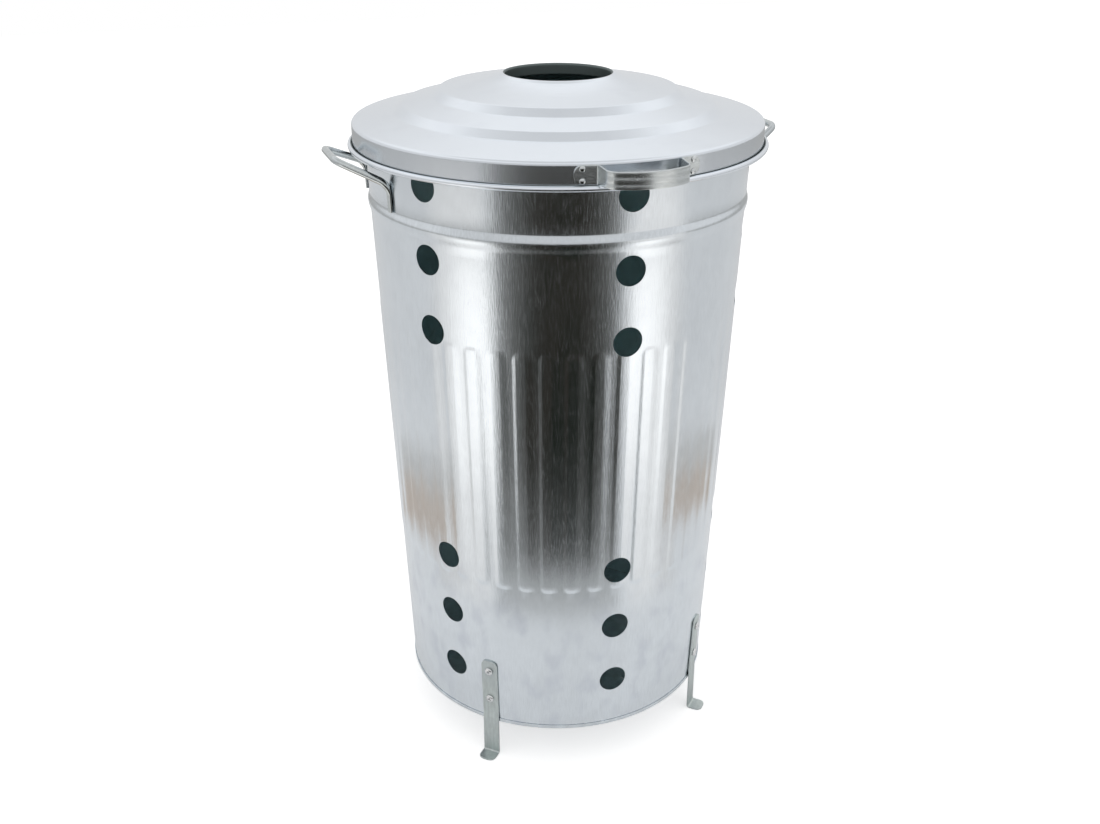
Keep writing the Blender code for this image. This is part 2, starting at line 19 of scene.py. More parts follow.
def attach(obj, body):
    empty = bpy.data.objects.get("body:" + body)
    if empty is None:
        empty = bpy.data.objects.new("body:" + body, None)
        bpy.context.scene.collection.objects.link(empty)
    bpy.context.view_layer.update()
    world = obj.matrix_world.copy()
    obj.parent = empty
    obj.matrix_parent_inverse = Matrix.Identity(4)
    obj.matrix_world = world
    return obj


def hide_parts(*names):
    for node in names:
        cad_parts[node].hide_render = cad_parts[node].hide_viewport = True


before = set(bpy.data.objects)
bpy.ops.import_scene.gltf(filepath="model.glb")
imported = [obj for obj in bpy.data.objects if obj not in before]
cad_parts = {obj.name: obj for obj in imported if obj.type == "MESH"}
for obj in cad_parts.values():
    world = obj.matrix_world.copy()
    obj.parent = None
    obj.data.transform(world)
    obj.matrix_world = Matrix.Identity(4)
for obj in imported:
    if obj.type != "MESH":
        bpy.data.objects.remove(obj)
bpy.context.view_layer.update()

# %% [markdown]
# ## Arithmetic on nodes
#
# A finish is a little network of nodes. Wiring it by hand hides what it computes, so one class
# wraps an output and gives it arithmetic: `0.3 + 0.1 * streaks` adds the Math nodes for us.


# %% An output that can be added and multiplied
class Signal:
    """A node's output that can be used in arithmetic."""

    def __init__(self, finish, socket):
        self.finish = finish
        self.socket = socket

    def _math(self, operation, first, second):
        return self.finish.node("ShaderNodeMath", {"operation": operation}, {0: first, 1: second})

    def __add__(self, other):
        return self._math("ADD", self, other)

    def __radd__(self, other):
        return self._math("ADD", other, self)

    def __sub__(self, other):
        return self._math("SUBTRACT", self, other)

    def __rsub__(self, other):
        return self._math("SUBTRACT", other, self)

    def __mul__(self, other):
        return self._math("MULTIPLY", self, other)

    def __rmul__(self, other):
        return self._math("MULTIPLY", other, self)


# %% [markdown]
# ## Nodes by one method
#
# Every other node comes from one method that takes the kind of node, its settings and its sockets.
# The short methods after it name the few patterns and places that this bin needs, so a finish
# reads like a list of what is on the metal. All places are measured on the piece, from the bin's
# upright axis, so a finish stays where it is when the lid is lifted.


# %% A finish and its nodes
def polar(angle, radius, height):
    """Point at an angle from the front towards the right."""
    return Vector((radius * math.sin(angle), -radius * math.cos(angle), height))


class Finish:
    """A material, or the world, whose nodes are added by expressions."""

    def __init__(self, owner):
        self.owner = owner
        owner.use_nodes = True
        self.tree = owner.node_tree

    def node(self, kind, settings, sockets, output=0):
        """Add one node: settings first, then the values or links of its sockets."""
        made = self.tree.nodes.new(kind)
        for name, value in settings.items():
            setattr(made, name, value)
        for key, value in sockets.items():
            if isinstance(value, Signal):
                self.tree.links.new(value.socket, made.inputs[key])
            else:
                made.inputs[key].default_value = value
        return Signal(self, made.outputs[output])

    def vector(self, operation, first, second, output=0):
        """Vector Math on one or two vectors."""
        return self.node("ShaderNodeVectorMath", {"operation": operation}, {0: first, 1: second}, output)

    def place(self, scale):
        """Position on the piece, stretched by a scale for each direction."""
        return self.vector("MULTIPLY", self.node("ShaderNodeTexCoord", {}, {}, "Object"), scale)

    def noise(self, scale, detail=2.0, roughness=0.5):
        """Cloudy value from 0 to 1 with this many cells a metre in each direction."""
        sockets = {"Vector": self.place(scale), "Scale": 1.0, "Detail": detail, "Roughness": roughness}
        return self.node("ShaderNodeTexNoise", {}, sockets)

    def height(self):
        """Height on the piece in metres."""
        spot = self.node("ShaderNodeTexCoord", {}, {}, "Object")
        return self.node("ShaderNodeSeparateXYZ", {}, {0: spot}, 2)

    def distance(self):
        """Distance from the upright axis in metres."""
        return self.node("ShaderNodeVectorMath", {"operation": "LENGTH"}, {0: self.place((1, 1, 0))}, 1)

    def turned(self, angle):
        """Sine of how far a point stands past an angle about the axis, given in degrees."""
        side = polar(math.radians(angle + 90), 1.0, 0.0)
        flat = self.node("ShaderNodeVectorMath", {"operation": "NORMALIZE"}, {0: self.place((1, 1, 0))})
        return self.vector("DOT_PRODUCT", flat, side, 1)

    def inward(self):
        """1 where the sheet looks towards the upright axis, 0 where it looks away."""
        faces = self.node("ShaderNodeNewGeometry", {}, {}, "Normal")
        towards = self.vector("DOT_PRODUCT", self.place((1, 1, 0)), faces, 1)
        return self.ramp(towards, -0.004, -0.012)

    def ramp(self, value, low, high):
        """Smooth step from 0 at low to 1 at high."""
        settings = {"interpolation_type": "SMOOTHSTEP"}
        return self.node("ShaderNodeMapRange", settings, {0: value, 1: low, 2: high})

    def blend(self, share, first, second):
        """Colour between two colours."""
        settings = {"data_type": "RGBA"}
        return self.node("ShaderNodeMix", settings, {0: share, 6: first, 7: second}, 2)

    def bump(self, value, strength, distance):
        """Surface direction tilted as if the value were a height."""
        sockets = {"Strength": strength, "Distance": distance, "Height": value}
        return self.node("ShaderNodeBump", {}, sockets)


# %% [markdown]
# ## Places that differ on one sheet
#
# Some things change from place to place on one piece. Handling leaves its marks mostly on the
# plain foot of the wall. The lid's skirt was drawn in a tool, which leaves it a little glossier
# and more deeply lined. The inside of the wall and of the lid gets painted shade: a darker,
# greener colour for the unlit inside, and more roughness. Each place is a function of the finish,
# and a soft ramp hides where it begins.

# %% Where the places begin
# Painted shade: the unlit inside of the wall gets a darker, greener colour, and the inside of the lid
# and its neck a dark grey-green one.
INSIDE_WALL_SHADE = (0.60, 0.78, 0.80, 1.0)
INSIDE_LID_SHADE = (0.15, 0.18, 0.18, 1.0)


def inside_wall(finish):
    """The wall's inner side below the rolled edge."""
    return finish.inward() * finish.ramp(finish.height(), 0.6955, 0.6905)


def low_wall(finish):
    """Mostly the plain foot of the wall, a little of the rest."""
    return 0.15 + 0.85 * finish.ramp(finish.height(), 0.24, 0.16)


def lid_skirt(finish):
    """The drawn skirt of the lid."""
    return finish.ramp(finish.height(), 0.6995, 0.6975)


def lid_inside(finish):
    """The lid's inner side and the inside of its neck."""
    return finish.inward()


# The key under holds the painted shade colour for the unlit inside.
WALL_PLACES = {"marked": low_wall, "inside": inside_wall, "under": INSIDE_WALL_SHADE, "grain": 0.09}
LID_PLACES = {"drawn": lid_skirt, "inside": lid_inside, "under": INSIDE_LID_SHADE}
print("the wall differs by", ", ".join(WALL_PLACES), "and the lid by", ", ".join(LID_PLACES))

# %% [markdown]
# ## Galvanised steel
#
# Zinc-coated sheet is bright and slightly blue. Rolling leaves fine lines along the sheet, the
# zinc freezes into faint crystals, and handling leaves dull smears. One function sets these for
# every piece, and each piece says how rough it is, which way its lines run and how marked it is.
# The lines also tilt the surface a little, which is what streaks a reflection, and on the wall
# they are rougher too, which gives the soft edge of a reflection its grain. Each pattern is noise
# with its own number of cells a metre.

# %% One function for all bare metal
CLOUDS = (9, 9, 7)
CRYSTALS = (75, 75, 60)
SMEARS = (42, 42, 26)


def tint(colour, factor):
    """Colour made darker or paler by a factor, with full opacity."""
    return tuple(min(1.0, factor * c) for c in colour) + (1.0,)


def metal(name, colour, roughness, lines, depth, mottle, smears, places):
    """Bare metal with rolling lines, faint crystals and dull smears."""
    material = bpy.data.materials.new(name)
    finish = Finish(material)
    streaks = finish.noise(lines, detail=3.0, roughness=0.65)
    cloud = finish.noise(CLOUDS, detail=3.0)
    crystals = finish.noise(CRYSTALS, detail=1.0)
    dull = smears * finish.ramp(finish.noise(SMEARS, detail=3.0), 0.46, 0.74)
    if "marked" in places:
        dull = dull * places["marked"](finish)
    tone = finish.ramp(0.55 * streaks + 0.3 * cloud + 0.15 * crystals, 0.3, 0.7)
    shade = finish.blend(tone, tint(colour, 1 - 0.20 * mottle), tint(colour, 1 + 0.06 * mottle))
    shade = finish.blend(dull, shade, tint((colour[0], colour[1], 1.04 * colour[2]), 0.80))
    rough = (roughness - 0.045 * mottle) + mottle * (0.06 * streaks + 0.03 * crystals)
    relief = streaks
    if "grain" in places:
        rough = rough + places["grain"] * finish.ramp(streaks, 0.46, 0.72)
    if "drawn" in places:
        share = places["drawn"](finish)
        rough = rough - 0.15 * roughness * share
        relief = streaks * (1.0 + 9.0 * share)
    # Painted shade: where the sheet looks inwards, its colour is blended towards the painted shade
    # colour of the unlit inside, and it is made rougher.
    if "inside" in places:
        share = places["inside"](finish)
        shade = finish.blend(share, shade, places["under"])
        rough = rough + 0.25 * share
    shader = material.node_tree.nodes["Principled BSDF"]
    shader.inputs["Metallic"].default_value = 1.0
    links = {"Base Color": shade, "Roughness": rough, "Normal": finish.bump(relief, depth, 0.0004)}
    for socket, value in links.items():
        finish.tree.links.new(value.socket, shader.inputs[socket])
    return material


# %% [markdown]
# ## The finish of each piece
#
# A table is easier to compare than ten calls. Brighter pieces have less roughness: the rivets and
# screws are the glossiest, the straps of the legs the dullest. Lines run upright on the wall and
# the legs, along the strap of the lid's handle, and have no direction on rods and small pieces.

# %% The table of finishes
UPRIGHT = (800, 800, 80)
STRAP = (300, 300, 60)
ACROSS = (60, 540, 540)
EVEN = (400, 400, 400)
COARSE = (90, 90, 90)
# slot: colour, roughness, lines, depth of the lines, cloudiness, smears, places that differ
RECIPES = {
    "wall_sheet": ((0.81, 0.86, 0.905), 0.17, UPRIGHT, 0.22, 0.6, 0.7, WALL_PLACES),
    "base_sheet": ((0.80, 0.85, 0.89), 0.26, COARSE, 0.1, 1.0, 0.6, {}),
    "rim_wire_steel": ((0.66, 0.68, 0.69), 0.32, EVEN, 0.1, 1.0, 0.3, {}),
    "handle_rod": ((0.62, 0.66, 0.665), 0.18, EVEN, 0.14, 1.0, 0.7, {}),
    "leg_strap": ((0.62, 0.675, 0.665), 0.40, STRAP, 0.2, 1.0, 1.0, {}),
    "bright_screw": ((0.84, 0.85, 0.86), 0.18, EVEN, 0.05, 1.0, 0.3, {}),
    "plain_nut": ((0.70, 0.71, 0.72), 0.32, EVEN, 0.05, 1.0, 0.3, {}),
    "lid_sheet": ((0.81, 0.855, 0.91), 0.24, UPRIGHT, 0.04, 0.15, 0.1, LID_PLACES),
    "lid_strap": ((0.72, 0.76, 0.77), 0.26, ACROSS, 0.22, 1.0, 0.5, {}),
    "soft_rivet": ((0.74, 0.77, 0.78), 0.16, EVEN, 0.05, 1.0, 0.2, {}),
}
FINISHES = {slot: metal(slot, *recipe) for slot, recipe in RECIPES.items()}
print("finishes:", ", ".join(FINISHES))

# %% [markdown]
# ## Building a mesh from rows
#
# Almost every piece here is a row of points swept along or turned round something. A small class
# collects the rows, joins them with four-sided faces and gives back a finished mesh. That keeps
# the faces even, which matters more on shiny metal than anywhere else.


# %% Rows and faces
def smooth(mesh, sharp):
    """Shade a mesh smooth, but keep edges sharp that turn by more than an angle in degrees."""
    mesh.shade_smooth()
    mesh.set_sharp_from_angle(angle=math.radians(sharp))


class Net:
    """Rows of points joined by faces."""

    def __init__(self):
        self.points = []
        self.faces = []

    def row(self, points):
        """Add points and return their numbers."""
        first = len(self.points)
        self.points += points
        return list(range(first, len(self.points)))

    def join(self, low, high):
        """Join two closed rows."""
        for i in range(len(low)):
            j = (i + 1) % len(low)
            self.faces.append((low[i], low[j], high[j], high[i]))

    def sheet(self, rows):
        """Join closed rows one after the other."""
        numbers = [self.row(points) for points in rows]
        for low, high in zip(numbers, numbers[1:]):
            self.join(low, high)
        return numbers

    def tube(self, rows, ends=True):
        """A sheet with flat ends, or with its last row joined to its first."""
        numbers = self.sheet(rows)
        if ends:
            self.faces += [numbers[0][::-1], numbers[-1]]
        else:
            self.join(numbers[-1], numbers[0])

    def mesh(self, name, sharp=35, closed=True):
        """The finished mesh; a closed one has its faces turned outwards."""
        shape = bmesh.new()
        for point in self.points:
            shape.verts.new(point)
        shape.verts.ensure_lookup_table()
        for face in self.faces:
            shape.faces.new([shape.verts[i] for i in face])
        if closed:
            bmesh.ops.recalc_face_normals(shape, faces=shape.faces)
        mesh = bpy.data.meshes.new(name)
        shape.to_mesh(mesh)
        shape.free()
        smooth(mesh, sharp)
        return mesh


# %% [markdown]
# ## From a mesh to a piece
#
# A piece is a mesh with a finish that rides on one moving body of the frame and stands for one of
# its solids. Sheet is drawn as its outer surface and then given its thickness inwards, so that the
# outer sizes stay exact. Holes are cut afterwards, because then they go through a real thickness.

# %% Pieces, thickness and cuts
SHEET = 0.0006


def add_piece(name, mesh, slot, body, node):
    """Show a mesh in its finish, riding on a body and standing for a node of the frame."""
    piece = bpy.data.objects.new(name, mesh)
    bpy.context.scene.collection.objects.link(piece)
    piece.data.materials.clear()
    piece.data.materials.append(FINISHES[slot])
    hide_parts(node)
    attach(piece, body)
    return piece


def thicken(piece):
    """Give a sheet its thickness, inwards from the surface that was drawn."""
    sheet = piece.modifiers.new("sheet", "SOLIDIFY")
    sheet.thickness = SHEET
    sheet.offset = -1
    sheet.use_even_offset = True


def settle(piece, sharp=35):
    """Keep what an object's modifiers make of it as its own mesh."""
    graph = bpy.context.evaluated_depsgraph_get()
    mesh = bpy.data.meshes.new_from_object(piece.evaluated_get(graph))
    piece.modifiers.clear()
    piece.data = mesh
    smooth(mesh, sharp)
    print(piece.name, "has", len(mesh.polygons), "faces")


def cut(piece, tool, sharp=35, crossing=False):
    """Cut a tool out of a piece. The tool's own parts may cross each other."""
    bpy.context.scene.collection.objects.link(tool)
    hole = piece.modifiers.new("hole", "BOOLEAN")
    hole.operation = "DIFFERENCE"
    hole.solver = "EXACT"
    hole.use_self = crossing
    hole.object = tool
    settle(piece, sharp)
    bpy.data.objects.remove(tool)


# %% [markdown]
# ## Bent lines
#
# Sheet and bar are never bent to a sharp corner. Each bend is drawn as a corner with a radius and
# turned into an arc here. Smooth shading would spread the turn of an arc over the flat part next to
# it, so a long flat part gets an extra point close to each of its ends.


# %% Lines with rounded corners
def rounded(points, radii, steps=5):
    """Bent line whose inner corners are arcs of these radii."""
    line = [points[0]]
    for before, corner, after, radius in zip(points, points[1:], points[2:], radii):
        arrive = (corner - before).normalized()
        leave = (after - corner).normalized()
        turn = arrive.angle(leave)
        centre = corner + (leave - arrive).normalized() * radius / math.cos(turn / 2)
        reach = radius * math.tan(turn / 2)
        first = (corner - arrive * reach - centre).normalized()
        last = (corner + leave * reach - centre).normalized()
        line += [centre + first.slerp(last, i / steps) * radius for i in range(steps + 1)]
    return line + [points[-1]]


def supported(points, margin=0.0006):
    """The line with extra points next to its folds, so that the long parts between stay flat."""
    line = [points[0]]
    for i, (a, b) in enumerate(zip(points, points[1:])):
        if (b - a).length > 5 * margin:
            near = (b - a).normalized() * margin
            line += [a + near] * (i > 0) + [b - near] * (i < len(points) - 2)
        line.append(b)
    return line


def arc(centre, radius, start, turn, steps):
    """Points on an arc of a profile, given as distance from the axis and height."""
    angles = [start + turn * i / steps for i in range(steps + 1)]
    return [centre + Vector((math.cos(a), math.sin(a))) * radius for a in angles]


def turn_profile(profile, columns):
    """Rows of a profile turned round the upright axis."""
    angles = [k * 2 * math.pi / columns for k in range(columns)]
    return [[polar(a, radius, height) for a in angles] for radius, height in profile]


# %% [markdown]
# ## The wall
#
# The wall is one sheet bent to a cone, wider at the top so that bins stack. Ribs with flat tops
# stiffen its middle, and a rolled bead runs round above them. All of it is measured from the foot.

# %% Sizes of the wall
BASE_RADIUS = 0.1902
RIM_RADIUS = 0.2167
RIM_HEIGHT = 0.6996
RIB_COUNT = 47
RIB_CREST = 0.0100
RIB_LEFT = 0.0040
RIB_RIGHT = 0.0075
RIB_END = 0.0050
RIB_PROUD = 0.0005
RIB_FLATNESS = 0.00003
RIB_BOTTOM = 0.1975
RIB_TOP = 0.4985
RIB_PITCH = 2 * math.pi / RIB_COUNT
BEAD_HEIGHT = 0.615
BEAD_WIDTH = 0.022
BEAD_PROUD = 0.0022


def wall_radius(height):
    """Outside of the plain cone at a height."""
    return BASE_RADIUS + (RIM_RADIUS - BASE_RADIUS) * height / RIM_HEIGHT


MIDDLE = wall_radius((RIB_BOTTOM + RIB_TOP) / 2)
print("ribs every", round(1000 * MIDDLE * RIB_PITCH, 1), "mm")

# %% [markdown]
# ## Ribs and bead as heights
#
# The ribs rise half a millimetre, yet they rule the look: each flank mirrors another part of the
# room. The left flank is steeper than the right one, so it shows as a thin bright line and the
# right one as a wide soft band. Pressed forms are easiest to write as a height over the plain cone.
# A rib ends in half a round, which comes from measuring the distance to the middle of its crest.


# %% Height of a point over the plain cone
def rib_rise(across, height):
    """Rise of a rib at a distance across from the middle of its crest."""
    half = RIB_CREST / 2
    low = RIB_BOTTOM + RIB_END + half
    high = RIB_TOP - RIB_END - half
    beyond = max(0.0, low - height, height - high)
    reach = math.hypot(across, beyond)
    # The crest is a little flatter than the wall.
    crest = RIB_PROUD + RIB_FLATNESS * min(1.0, abs(across) / half) ** 2
    if reach <= half:
        return crest
    side = RIB_LEFT if across < 0 else RIB_RIGHT
    flank = math.hypot(side * across, RIB_END * beyond) / reach
    return crest * max(0.0, 1 - (reach - half) / flank)


def bead_rise(height):
    """Rise of the rolled bead."""
    share = abs(height - BEAD_HEIGHT) / (BEAD_WIDTH / 2)
    return BEAD_PROUD * math.cos(min(1.0, share) * math.pi / 2) ** 1.5


print("a flank rises", round(1000 * (rib_rise(0.0, 0.35) - rib_rise(0.009, 0.35)), 2), "mm in 9 mm")

# %% [markdown]
# ## Columns and rows where the sheet folds
#
# An even grid would miss the folds and blur the ribs. So each fold has two columns a hair apart,
# and the rows crowd together at the rib ends and on the bead. The wall's upright seam is one valley
# at the back that stands a little proud.

# %% The wall's columns and rows
FOLD = 0.0002
SEAM_RIB = 20
SEAM_PROUD = 0.0005


def wall_columns():
    """Angle, distance from the nearest crest's middle and seam rise of every column."""
    pitch = MIDDLE * RIB_PITCH
    half = RIB_CREST / 2
    middle = (RIB_LEFT - RIB_RIGHT) / 2
    left, right = -half - RIB_LEFT, half + RIB_RIGHT
    folds = [x + side for x in (left, -half, half, right) for side in (-FOLD, FOLD)]
    between = [left + RIB_LEFT / 2, 0.0, right - RIB_RIGHT / 2, (left + right + pitch) / 2]
    columns = []
    for rib in range(RIB_COUNT):
        for offset in sorted(folds + between):
            along = rib * pitch + middle + offset
            on_seam = offset > right + FOLD and rib == SEAM_RIB
            columns.append((along / MIDDLE, offset, SEAM_PROUD * on_seam))
    return columns


def wall_heights():
    """Heights of the rows, close together where the wall is not straight."""
    end = RIB_END + RIB_CREST / 2
    near = [share * end for share in (0.0, 0.06, 0.22, 0.38, 0.5, 0.64, 0.82, 1.0)]
    heights = [0.0009, 0.006, 0.05, 0.10, 0.15, 0.185]
    heights += [RIB_BOTTOM + x for x in near]
    heights += [0.25, 0.30, 0.35, 0.40, 0.45]
    heights += [RIB_TOP - x for x in reversed(near)]
    heights += [0.52, 0.56, 0.595]
    heights += [BEAD_HEIGHT + BEAD_WIDTH * (i / 12 - 0.5) for i in range(13)]
    return heights + [0.64, 0.67]


print(len(wall_columns()), "columns and", len(wall_heights()), "rows")

# %% [markdown]
# ## Air holes
#
# Six columns of round holes let air in low down and out high up. Round tools, each turned to face
# out of the tapered wall, cut them right through the sheet. A hole cut from a real thickness has a
# real edge, which catches a thin line of light.

# %% Tools for the air holes
HOLE_RADIUS = 0.0165
HOLE_STEP = 0.0780
LOW_HOLES = [0.0672 + i * HOLE_STEP for i in range(3)]
HIGH_HOLES = [RIM_HEIGHT - 0.0370 - i * HOLE_STEP for i in range(3)]
HOLE_COLUMNS = 6
WALL_LEAN = math.atan((RIM_RADIUS - BASE_RADIUS) / RIM_HEIGHT)


def facing(angle, height, radius, lean=WALL_LEAN):
    """Placement whose own Z axis points out of the wall."""
    turn = Matrix.Rotation(angle, 4, "Z") @ Matrix.Rotation(math.pi / 2 + lean, 4, "X")
    return Matrix.Translation(polar(angle, radius, height)) @ turn


def hole_tools():
    """All the round tools that cut the air holes, as one object."""
    size = {"segments": 56, "radius1": HOLE_RADIUS, "radius2": HOLE_RADIUS, "depth": 0.03}
    shape = bmesh.new()
    for column in range(HOLE_COLUMNS):
        for height in LOW_HOLES + HIGH_HOLES:
            at = facing(column * 2 * math.pi / HOLE_COLUMNS, height, wall_radius(height))
            bmesh.ops.create_cone(shape, cap_ends=True, matrix=at, **size)
    mesh = bpy.data.meshes.new("hole_tools")
    shape.to_mesh(mesh)
    shape.free()
    return bpy.data.objects.new("hole_tools", mesh)


print(HOLE_COLUMNS * len(LOW_HOLES + HIGH_HOLES), "air holes of", 2000 * HOLE_RADIUS, "mm")

# %% [markdown]
# ## The wall's sheet
#
# Now the rows of the wall can be made. Its top edge is rolled outwards round a wire, so that it
# isn't sharp and the rim stays round: that is an arc of a little more than three quarters of a
# turn, added as a few more rows. Then the sheet gets its thickness and its holes.

# %% The wall with its rolled edge and holes
CURL_RADIUS = 0.0025
CURL_TURN = math.radians(290)
CURL_CENTRE = Vector((wall_radius(RIM_HEIGHT) + CURL_RADIUS, RIM_HEIGHT))


def wall_mesh():
    """Outer surface of the wall, from its foot to the free edge of the roll."""
    columns = wall_columns()
    rows = []
    for height in wall_heights():
        plain = wall_radius(height)
        row = []
        for angle, across, seam in columns:
            row.append(polar(angle, plain + rib_rise(across, height) + bead_rise(height) + seam, height))
        rows.append(row)
    for radius, height in arc(CURL_CENTRE, CURL_RADIUS, math.pi, -CURL_TURN, 14):
        rows.append([polar(angle, radius, height) for angle, _, _ in columns])
    net = Net()
    net.sheet(rows)
    return net.mesh("wall", closed=False)


wall = add_piece("wall", wall_mesh(), "wall_sheet", "bin", "body_shell")
thicken(wall)
cut(wall, hole_tools())

# %% [markdown]
# ## Wire and base
#
# The wire in the rolled edge is only seen when the lid is off. The base is a round plate whose rim
# turns up outside the foot of the wall. From outside that shows as a narrow band with a dark line
# above it, where the sheet ends. Both are profiles turned round the axis.

# %% The wire and the base
WIRE_RADIUS = 0.002
BASE_RIM = 0.005
GAP = 0.0003
BASE_OUTSIDE = wall_radius(BASE_RIM) + GAP + SHEET
HUB = 0.02


def ring_mesh(name, profile, ends):
    """A profile turned round the axis in many fine steps."""
    net = Net()
    net.tube(turn_profile(profile, 192), ends)
    return net.mesh(name)


wire = arc(CURL_CENTRE, WIRE_RADIUS, 0, 2 * math.pi, 12)[:-1]
add_piece("wire_ring", ring_mesh("wire_ring", wire, False), "rim_wire_steel", "bin", "rim_wire")

inner = BASE_OUTSIDE - SHEET
under = [Vector(p) for p in ((HUB, 0.0), (BASE_OUTSIDE, 0.0), (BASE_OUTSIDE, BASE_RIM))]
above = [Vector(p) for p in ((inner, BASE_RIM), (inner, SHEET), (HUB, SHEET))]
base = rounded(under, (0.0012,), 4) + rounded(above, (0.0006,), 3)
add_piece("base", ring_mesh("base", base, True), "base_sheet", "bin", "base_plate")
print("base is", round(2000 * BASE_OUTSIDE, 1), "mm across")

# %% [markdown]
# ## Bars and straps
#
# The handles and legs are bars bent along a path. At each point of the path the bar has a half
# width and a half thickness, so one function makes a round rod, a flat strap with rounded edges,
# and the place where a rod is hammered flat.


# %% A bar along a path
def headings(points):
    """Direction of a path at each of its points."""
    steps = [(b - a).normalized() for a, b in zip(points, points[1:])]
    inner = [(a + b).normalized() for a, b in zip(steps, steps[1:])]
    return [steps[0], *inner, steps[-1]]


def section(count, corner):
    """Unit outline of a bar: a circle for corner 1, a box with rounded corners below it."""
    outline = []
    for i in range(count):
        angle = (i + 0.5) * 2 * math.pi / count
        x = math.cos(angle)
        y = math.sin(angle)
        reach = (abs(x) ** (2 / corner) + abs(y) ** (2 / corner)) ** (-corner / 2)
        outline.append((x * reach, y * reach))
    return outline


def bar(stations, across, outline, fixed=True, ridge=None):
    """Closed bar through (point, half width, half thickness) stations."""
    rows = []
    directions = headings([point for point, _, _ in stations])
    previous = directions[0]
    for (point, half_width, half_thickness), ahead in zip(stations, directions):
        if not fixed:
            across = previous.rotation_difference(ahead) @ across
            previous = ahead
        through = ahead.cross(across).normalized()
        row = []
        for x, y in outline:
            lift = ridge(x, point) if ridge and y > 0 else 0.0
            row.append(point + across * half_width * x + through * (half_thickness * y + lift))
        rows.append(row)
    net = Net()
    net.tube(rows)
    return net


# %% [markdown]
# ## Strap ends
#
# A strap is cut with rounded corners. They come from making the bar narrower over its last few
# millimetres, with more points where the corner turns fastest.


# %% Stations of a strap
def tip_widths(half_width, corner, steps=6):
    """Distance from a strap's end and half width there, for an end with rounded corners."""
    spans = []
    for i in range(steps + 1):
        angle = math.pi / 2 * i / steps
        spans.append((corner * (1 - math.cos(angle)), half_width - corner * (1 - math.sin(angle))))
    return spans


def strap_stations(path, half_width, half_thickness, corner):
    """Stations of a strap whose two ends have rounded corners."""
    ahead = (path[1] - path[0]).normalized()
    back = (path[-2] - path[-1]).normalized()
    tips = tip_widths(half_width, corner)
    stations = [(path[0] + ahead * d, w, half_thickness) for d, w in tips]
    stations += [(point, half_width, half_thickness) for point in path[1:-1]]
    return stations + [(path[-1] + back * d, w, half_thickness) for d, w in reversed(tips)]


# %% [markdown]
# ## Legs
#
# Each leg is a cut strap that lies on the wall, steps out over the rim of the base and ends in a
# toe that is bent outwards to stand on. The same mesh serves all four, turned about the axis.

# %% The four legs
LEG_ANGLES = {"front_right": 45, "rear_right": 135, "rear_left": -135, "front_left": -45}
LEG_WIDTH = 0.0210
LEG_THICKNESS = 0.0020
LEG_CORNER = 0.007
LEG_TOP = 0.0890
LEG_KNEE = 0.0120
LEG_BENDS = (0.006, 0.006, 0.003)
FOOT_DROP = 0.0480
TOE_REACH = 0.0168
SEAT_GAP = 0.0001


def leg_path():
    """Middle line of a leg that faces the front."""
    half = LEG_THICKNESS / 2
    lower = BASE_OUTSIDE + SEAT_GAP + half
    sole = half - FOOT_DROP
    corners = [
        Vector((0, -(wall_radius(LEG_TOP) + SEAT_GAP + half), LEG_TOP)),
        Vector((0, -(wall_radius(LEG_KNEE) + SEAT_GAP + half), LEG_KNEE)),
        Vector((0, -lower, BASE_RIM)),
        Vector((0, -lower, sole)),
        Vector((0, -lower - half - TOE_REACH, sole)),
    ]
    return supported(rounded(corners, LEG_BENDS))


leg_stations = strap_stations(leg_path(), LEG_WIDTH / 2, LEG_THICKNESS / 2, LEG_CORNER)
leg_net = bar(leg_stations, Vector((1, 0, 0)), section(24, 0.28))
for place, degrees in LEG_ANGLES.items():
    mesh = leg_net.mesh(f"strap_leg_{place}", sharp=50)
    mesh.transform(Matrix.Rotation(math.radians(degrees), 4, "Z"))
    add_piece(f"strap_leg_{place}", mesh, "leg_strap", "bin", f"leg_{place}")
print("four legs stand at", -FOOT_DROP)

# %% [markdown]
# ## A screw with a cross recess
#
# Pan-head machine screws hold the legs. The head is a turned profile, and its recess is cut out
# with a tapered cross. The thread is a surface whose radius goes up and down with both height and
# angle, which makes a true helix without winding anything.

# %% One screw
SCREW_RADIUS = 0.0024
HEAD_RADIUS = 0.0050
HEAD_HEIGHT = 0.0030
HEAD_EDGE = 0.0002
THREAD_PITCH = 0.0008
THREAD_DEPTH = 0.0004
NUT_THICKNESS = 0.0040
PAST_NUT = 0.0015
SEAT = SEAT_GAP + LEG_THICKNESS + GAP
# The solids' wall has a flat facet for each rib, and the nut lies on a facet.
NUT_TOP = -(SHEET + BASE_RADIUS * (1 - math.cos(math.pi / RIB_COUNT)) + GAP)
SCREW_TAIL = NUT_TOP - NUT_THICKNESS - PAST_NUT
SCREW_COLUMNS = 24


def thread_rows():
    """Rows of the shank, from its tip to the head."""
    count = int(6 * (SEAT - SCREW_TAIL) / THREAD_PITCH)
    rows = []
    for i in range(count + 1):
        height = SCREW_TAIL + (SEAT - SCREW_TAIL) * i / count
        row = []
        for k in range(SCREW_COLUMNS):
            phase = (height / THREAD_PITCH - k / SCREW_COLUMNS) % 1.0
            radius = SCREW_RADIUS - THREAD_DEPTH * abs(2 * phase - 1) * (height < -SHEET)
            if i == 0:
                radius = SCREW_RADIUS - 0.0006
            row.append(polar(k * 2 * math.pi / SCREW_COLUMNS, radius, height))
        rows.append(row)
    return rows


